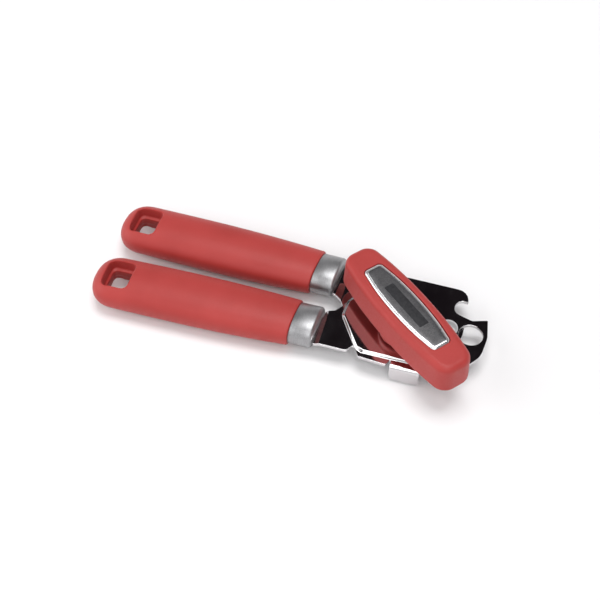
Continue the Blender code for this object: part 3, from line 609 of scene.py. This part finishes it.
# %% [markdown]
# ## Finish the grips
# The socket for the plastic core is a squarer bar, cut from the front. A cutting tool always reaches a
# little past the face that it opens, because two faces in one plane confuse a Boolean.

# %% Build the grips
SOCKET_HALF = (9.7, 4.8)
SOCKET_DEPTH = 58.0
SOCKET_SQUARENESS = 5.0
TOOL_REACH = 5.0
GRIP_PASSES = 7


def build_grip(side):
    length = HANDLES[side]["length"]
    bar = extruded_bar(grip_stations(length))
    slanted_face(bar)
    grip = new_piece(f"{side}_grip_moulding", bar)
    ends = [(-SOCKET_DEPTH, *SOCKET_HALF), (TOOL_REACH, *SOCKET_HALF)]
    socket = new_piece("socket", extruded_bar(ends, SOCKET_SQUARENESS))
    cut(grip, [socket, hang_hole(length)])
    soften(grip, GRIP_PASSES)
    grip.data.transform(handle_place(side))
    return grip


for side in HANDLES:
    dress(build_grip(side), f"{side}_lever", SOFT_RED, f"{side}_grip")

# %% [markdown]
# ## Steel caps
# A thin drawn cup closes the front of each grip. Its side is straight, its nose is rounded, and a slot in
# the nose lets the lever through. It starts as a closed bar like the grip, and its back face is deleted,
# which leaves an open shell. Solidify then gives the shell the thickness of its sheet, and the slot is cut
# last.

# %% Build the caps
CAP_HALF = (12.1, 8.0)
CAP_LENGTH = 12.6
CAP_ROUNDING = 2.0
CAP_WALL = 0.8
CAP_MOUTH = [(0.15, 0.12), (0.35, 0.0)]
NOSE_STEPS = 8
SLOT_LENGTH = 20.0
SLOT_HALF = 6.8
SLOT_HEIGHT = 2.4
SLOT_CORNER = 0.6


def cap_stations():
    """Stations from the eased mouth, which stands just off the grip's face, to the rounded nose."""
    places = [*CAP_MOUTH, (CAP_LENGTH - CAP_ROUNDING, 0.0)]
    for i in range(1, NOSE_STEPS + 1):
        angle = math.pi / 2 * i / NOSE_STEPS
        along = CAP_LENGTH - CAP_ROUNDING * (1 - math.sin(angle))
        places.append((along, CAP_ROUNDING * (1 - math.cos(angle))))
    return [(x, CAP_HALF[0] - inset, CAP_HALF[1] - inset) for x, inset in places]


def build_cap(side):
    bm = extruded_bar(cap_stations())
    back = min(bm.faces, key=lambda face: face.calc_center_median().x)
    bmesh.ops.delete(bm, geom=[back], context="FACES_ONLY")
    bmesh.ops.recalc_face_normals(bm, faces=bm.faces)
    bmesh.ops.solidify(bm, geom=bm.faces[:], thickness=CAP_WALL)
    for vertex in bm.verts:
        vertex.co.x += FACE_SKEW * vertex.co.y
    cap = new_piece(f"{side}_cap_drawn", bm)
    slot = rounded_plate(SLOT_LENGTH, 2 * SLOT_HALF, SLOT_CORNER, -SLOT_HEIGHT / 2, (CAP_LENGTH, 0.0))
    lift_top(slot, slot.faces[:][0], SLOT_HEIGHT)
    bmesh.ops.translate(slot, vec=(0.0, 0.0, HANDLES[side]["tang_z"]), verts=slot.verts)
    cut(cap, [new_piece("slot", slot)])
    shade_round(cap.data)
    cap.data.transform(handle_place(side))
    return cap


for side in HANDLES:
    dress(build_cap(side), f"{side}_lever", BRUSHED_CAP, f"{side}_ferrule")

# %% [markdown]
# ## A bowed outline
# The knob is a long wing with gently bowed sides, and its inlay has the same outline, only smaller. The
# outline starts as six points: one at each bow, and two at each end. Its three sizes are half the length,
# half the width at the bow points, and half the width at the ends. Bevelling the points rounds the
# outline, and draws the bow in a little.

# %% The outline of knob and inlay
KNOB_HALF = (44.6, 16.4, 9.5)
KNOB_CORNER = 7.6
INLAY_HALF = (29.9, 10.3, 5.6)
INLAY_CORNER = 2.8
BOW_SHARE = 0.72
BOW_STEPS = 24
BOWED_CORNER_STEPS = 10


def bowed_face(half, corner, inset, z):
    """The outline of the wing and of its inlay, as one face: bowed sides and rounded ends."""
    length, middle, end = (value - inset for value in half)
    bm = bmesh.new()
    right = [(length, -end), (length, end)]
    left = [(-length, end), (-length, -end)]
    points = right + [(0.0, middle)] + left + [(0.0, -middle)]
    bm.faces.new([bm.verts.new((x, y, z)) for x, y in points])
    lean = math.atan2(middle - end, length)
    side_radius = BOW_SHARE * length**2 / (middle - end)
    bows = [vertex for vertex in bm.verts if vertex.co.x == 0.0]
    ends = [vertex for vertex in bm.verts if vertex.co.x != 0.0]
    bow_reach = side_radius * math.tan(lean)
    corner_reach = (corner - inset / 2) * math.tan((math.pi / 2 - lean) / 2)
    for verts, reach, steps in ((bows, bow_reach, BOW_STEPS), (ends, corner_reach, BOWED_CORNER_STEPS)):
        bmesh.ops.bevel(
            bm, geom=verts, offset=reach, offset_type="OFFSET", segments=steps, profile=0.5,
            affect="VERTICES", material=-1,
        )
    return bm


# %% [markdown]
# ## Knob
# The wing is moulded in the same red as the grips. One extrusion of the outline gives its height, with a
# little draft so that it leaves the mould, and a wide bevel rolls the top edge over. The hub is joined on,
# and the same softening as on the grips blends it in. The bore and the pocket for the inlay are cut
# afterwards, because their edges have to stay crisp.

# %% Build the knob
knob_low, knob_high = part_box("knob_grip")
HUB_BOTTOM = knob_low.z / MM
HUB_RADIUS = 12.5
HUB_IN_WING = 5.0
BORE_RADIUS = 3.65
BORE_IN_WING = 12.2
WING_HEIGHT = 17.0
WING_TOP = knob_high.z / MM
WING_BOTTOM = WING_TOP - WING_HEIGHT
WING_DRAFT = 0.9
TOP_ROLL = 3.2
BOTTOM_ROLL = 1.0
INLAY_DEPTH = 1.8
KNOB_PASSES = 6
KNOB_PLACE = Matrix.Translation(DRIVE_AXIS) @ Matrix.Rotation(KNOB_TURN, 4, "Z")
SAME_HEIGHT = 0.0001
BAR_STEPS = 64


def roll_edge(bm, z, width, steps):
    """Rounds the edges that lie at a height."""
    rim = [
        edge for edge in bm.edges if all(abs(vertex.co.z - z) < SAME_HEIGHT for vertex in edge.verts)
    ]
    bmesh.ops.bevel(
        bm, geom=rim, offset=width, offset_type="OFFSET", segments=steps, profile=0.5,
        affect="EDGES", clamp_overlap=True, material=-1,
    )


def upright_bar(name, radius, low, high):
    """A round bar on the drive axis."""
    bm = bmesh.new()
    bmesh.ops.create_circle(bm, cap_ends=True, segments=BAR_STEPS, radius=radius)
    bmesh.ops.translate(bm, vec=(0.0, 0.0, low), verts=bm.verts)
    lift_top(bm, bm.faces[:][0], high - low)
    return new_piece(name, bm)


def build_knob():
    bm = bowed_face(KNOB_HALF, KNOB_CORNER, 0.0, WING_BOTTOM)
    draft = [(half - WING_DRAFT) / half for half in KNOB_HALF[:2]]
    lift_top(bm, bm.faces[:][0], WING_TOP - WING_BOTTOM, draft)
    roll_edge(bm, WING_TOP, TOP_ROLL, steps=10)
    roll_edge(bm, WING_BOTTOM, BOTTOM_ROLL, steps=4)
    wing = new_piece("knob_wing", bm)
    cut(wing, [upright_bar("hub", HUB_RADIUS, HUB_BOTTOM, WING_BOTTOM + HUB_IN_WING)], "UNION")
    soften(wing, KNOB_PASSES)
    bore = upright_bar("bore", BORE_RADIUS, HUB_BOTTOM - TOOL_REACH, WING_BOTTOM + BORE_IN_WING)
    pocket = bowed_face(INLAY_HALF, INLAY_CORNER, 0.0, WING_TOP - INLAY_DEPTH)
    lift_top(pocket, pocket.faces[:][0], TOOL_REACH)
    cut(wing, [bore, new_piece("inlay_pocket", pocket)])
    shade_round(wing.data)
    wing.data.transform(KNOB_PLACE)
    return wing


dress(build_knob(), "knob", SOFT_RED, "knob_grip")

# %% [markdown]
# ## Inlay
# A bright tray holds the inlay, and its rim is rolled over, which catches the light all the way round. It
# is made by insetting the top of the outline in small steps that follow an arc, and then pushing the
# middle down.

# %% Roll the rim
RIM_GAP = 0.3
RIM_ARC = 2.2
RIM_LEAN = math.radians(50)
RIM_WIDTH = RIM_ARC * math.sin(RIM_LEAN)
ROLL_STEPS = 8
TRAY_SHEET = 0.3
rim_low, rim_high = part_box("knob_bezel")
RIM_BOTTOM, RIM_TOP = rim_low.z / MM, rim_high.z / MM
TRAY_FLOOR = RIM_BOTTOM + TRAY_SHEET


def build_rim():
    bm = bowed_face(INLAY_HALF, INLAY_CORNER, RIM_GAP, RIM_BOTTOM)
    roll_height = RIM_ARC * (1 - math.cos(RIM_LEAN))
    top = lift_top(bm, bm.faces[:][0], RIM_TOP - RIM_BOTTOM - roll_height)
    lean = RIM_LEAN
    for i in range(ROLL_STEPS):
        flatter = RIM_LEAN * (ROLL_STEPS - 1 - i) / ROLL_STEPS
        width = RIM_ARC * (math.sin(lean) - math.sin(flatter))
        rise = RIM_ARC * (math.cos(flatter) - math.cos(lean))
        bmesh.ops.inset_region(bm, faces=[top], thickness=width, use_even_offset=True)
        bmesh.ops.translate(bm, vec=(0.0, 0.0, rise), verts=top.verts)
        lean = flatter
    lift_top(bm, top, TRAY_FLOOR - RIM_TOP)
    return new_piece("inlay_rim", bm, KNOB_PLACE)


dress(build_rim(), "knob", BRIGHT_RIM, "knob_bezel")

# %% [markdown]
# ## Inlay plate and label
# The grey plate inside the rim is crowned a little, so that its shade changes from end to end. Its side
# stops short of the rim's top, which leaves room for the crown. The crown is four small steps, each drawn
# further in and lifted less, shaded smooth. A small raised label with eased edges lies on it.

# %% Crown the plate and lay the label
PLATE_GAP = 0.06
PLATE_LIFT = 0.1
CROWN_ROOM = 0.4
CROWN_STEPS = ((0.3, 0.08), (0.5, 0.07), (1.0, 0.06), (2.0, 0.04))
CROWN_CRISP = math.radians(60)
LABEL_SIZE = (30.0, 5.6)
LABEL_CORNER = 0.6
LABEL_EASE = 0.1


def build_inlay_plate():
    inset = RIM_WIDTH + PLATE_GAP
    bm = bowed_face(INLAY_HALF, INLAY_CORNER, RIM_GAP, TRAY_FLOOR + PLATE_LIFT)
    top = bm.faces[:][0]
    bmesh.ops.inset_region(
        bm, faces=[top], thickness=inset, use_even_offset=True, use_boundary=True
    )
    bmesh.ops.delete(bm, geom=[face for face in bm.faces if face != top], context="FACES")
    top = lift_top(bm, top, RIM_TOP - TRAY_FLOOR - CROWN_ROOM)
    half = [value - RIM_GAP - inset for value in INLAY_HALF[:2]]
    for width, rise in CROWN_STEPS:
        top = lift_top(bm, top, rise, [(value - width) / value for value in half])
    return new_piece("inlay_plate", bm, KNOB_PLACE, CROWN_CRISP)


def build_label():
    low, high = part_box("knob_label")
    bm = rounded_plate(*LABEL_SIZE, LABEL_CORNER, low.z / MM)
    lift_top(bm, bm.faces[:][0], (high.z - low.z) / MM)
    roll_edge(bm, high.z / MM, LABEL_EASE, steps=3)
    return new_piece("inlay_label", bm, KNOB_PLACE)


dress(build_inlay_plate(), "knob", PEBBLED_GREY, "knob_badge")
dress(build_label(), "knob", LABEL_BLACK, "knob_label")

# %% [markdown]
# ## Lever plates
# The CAD plates already have the right outline, holes, embossing and folded tab. What they lack is the
# narrow rounded edge that tumbling and polishing leave on pressed steel, and that edge is what draws the
# bright line round a mirror-finished part. A merged copy of each plate gets a fine bevel on every crisp
# edge, and weighted normals keep its flat faces flat.

# %% Bevel the plates
EDGE_ANGLE = math.radians(20)
EDGE_WIDTH = 0.2
EDGE_STEPS = 3
SAME_POINT = 0.001
LARGE_FACES_FIRST = 100
PLATES = {
    "front_plate": ("front_lever_plate", "lower_lever"),
    "back_plate": ("back_lever_plate", "upper_lever"),
}


def bevelled_copy(name, node):
    bm = bmesh.new()
    bm.from_mesh(nodes[node].data)
    bmesh.ops.remove_doubles(bm, verts=bm.verts, dist=SAME_POINT * MM)
    crisp = [edge for edge in bm.edges if edge.calc_face_angle() > EDGE_ANGLE]
    bmesh.ops.bevel(
        bm, geom=crisp, offset=EDGE_WIDTH * MM, offset_type="OFFSET", segments=EDGE_STEPS, profile=0.5,
        affect="EDGES", clamp_overlap=False, material=-1,
    )
    mesh = bpy.data.meshes.new(name)
    bm.to_mesh(mesh)
    bm.free()
    mesh.shade_smooth()
    piece = bpy.data.objects.new(name, mesh)
    bpy.context.scene.collection.objects.link(piece)
    weighted = piece.modifiers.new("flat faces stay flat", "WEIGHTED_NORMAL")
    weighted.weight = LARGE_FACES_FIRST
    return settle(piece)


for node, (name, body) in PLATES.items():
    dress(bevelled_copy(name, node), body, POLISHED_PLATE, node)

# %% [markdown]
# ## Parts that keep their CAD shape
# The rivet, the wheels, the gears, the cores and the small turned parts are already the right shape, so
# they only change their finish.

# %% Finish the CAD parts
FINISHES = {
    "pivot_rivet": HEADED_STEEL,
    "pivot_washer": ZINC,
    "thrust_washer": ZINC,
    "drive_shaft": ZINC,
    "shaft_nut": ZINC,
    "cutter_stud": ZINC,
    "drive_gear": DRIVE_STEEL,
    "feed_wheel": DRIVE_STEEL,
    "cutter_gear": CUTTER_STEEL,
    "cutter_wheel": CUTTER_STEEL,
    "shaft_bushing": BRONZE,
    "lower_core": NYLON,
    "upper_core": NYLON,
}
for pin in ("lower_tang_pin_a", "lower_tang_pin_b", "upper_tang_pin_a", "upper_tang_pin_b"):
    FINISHES[pin] = ZINC
for node, finish in FINISHES.items():
    for slot in nodes[node].material_slots:
        slot.material = finish
print("refinished", len(FINISHES), "CAD parts")

# %% [markdown]
# ## Floor
# The opener lies on a plain round white table, so wide that the camera doesn't see its edge.

# %% Build the table
TABLE_RADIUS = 1300.0
TABLE_STEPS = 96


def build_floor():
    bm = bmesh.new()
    bmesh.ops.create_circle(bm, cap_ends=True, segments=TABLE_STEPS, radius=TABLE_RADIUS)
    floor = new_piece("table_top", bm)
    made, tree, shader, place = start_finish("white_table", 0.0)
    tone = speckle(tree, place, 3.0)
    colour = shade(tree, tone, (0.81, 0.805, 0.81), (0.83, 0.825, 0.83))
    roughness = spread(tree, tone, 0.6, 0.7)
    connect(tree, shader, colour=colour, roughness=roughness)
    floor.data.materials.append(made)


build_floor()

# %% [markdown]
# ## Light
# Light comes from a large soft panel above, one beside the camera, which lights the table through the
# holes, and one at the left. They and the camera look at a target near the middle of the opener.

# %% Hang the panels
TARGET = DRIVE_AXIS + Vector((-57 * MM, 5.5 * MM, 12 * MM))


def aim(item, place):
    """Puts a lamp or the camera at a place and turns it to look at the opener."""
    item.location = place
    item.rotation_euler = (TARGET - place).to_track_quat("-Z", "Y").to_euler()
    bpy.context.scene.collection.objects.link(item)


def soft_panel(name, place, width, height, power):
    light = bpy.data.lights.new(name, "AREA")
    light.shape = "RECTANGLE"
    light.size, light.size_y = width, height
    light.energy = power
    aim(bpy.data.objects.new(name, light), Vector(place))
    print(f"{name}: {width} x {height} m, {power} W")


soft_panel("panel_above", (0.1, 0.4, 2.6), width=1.8, height=1.2, power=45.0)
soft_panel("panel_camera", (0.44, -1.48, 2.0), width=2.0, height=2.0, power=28.0)
soft_panel("panel_left", (-1.4, -0.4, 0.9), width=1.6, height=1.3, power=13.0)

# %% [markdown]
# ## Room
# The room above the far side of the table is dark, and the flat mirror faces of the levers reflect exactly
# that part, so they look black between bright edges. The edges are bright because they reflect the
# horizon. Behind the camera the room is a little lighter.

# %% Build the room
HORIZON_FADE = (0.36, 0.56)
NEAR_FADE = (-0.7, 0.1)
NEAR_LEVEL = 0.3
ROOM_STRENGTH = 0.9


def build_room():
    """A room that is bright along the horizon and dark above, mostly on the far side."""
    world = bpy.data.worlds.new("studio_room")
    world.use_nodes = True
    tree = world.node_tree
    direction = add(tree, "TexCoord").outputs["Generated"]
    parts = add(tree, "SeparateXYZ", {"Vector": direction})
    horizon = spread(tree, parts.outputs["Z"], 1.0, 0.0, *HORIZON_FADE)
    near = spread(tree, parts.outputs["Y"], NEAR_LEVEL, 0.0, *NEAR_FADE)
    level = combine(tree, horizon, near, "MAXIMUM")
    colour = shade(tree, level, (0.012, 0.009, 0.011), (1.0, 0.99, 1.0), start=0.0, end=1.0)
    background = tree.nodes["Background"]
    tree.links.new(colour, background.inputs["Color"])
    background.inputs["Strength"].default_value = ROOM_STRENGTH
    bpy.context.scene.world = world


build_room()

# %% [markdown]
# ## Camera
# The camera looks down on the opener from the front, a little from the right, with a long lens.

# %% Place the camera
VIEW_HEIGHT = math.radians(52)
VIEW_TURN = math.radians(16.5)
VIEW_DISTANCE = 0.55
SENSOR_WIDTH = 36.0
LENS = 62.26


def build_camera():
    camera = bpy.data.cameras.new("camera")
    camera.sensor_width = SENSOR_WIDTH
    camera.lens = LENS
    flat = VIEW_DISTANCE * math.cos(VIEW_HEIGHT)
    sideways, back = flat * math.sin(VIEW_TURN), -flat * math.cos(VIEW_TURN)
    place = TARGET + Vector((sideways, back, VIEW_DISTANCE * math.sin(VIEW_HEIGHT)))
    obj = bpy.data.objects.new("camera", camera)
    aim(obj, place)
    bpy.context.scene.camera = obj
    bpy.context.scene.view_settings.view_transform = "Standard"
    print("camera at", [round(value, 3) for value in place])


build_camera()
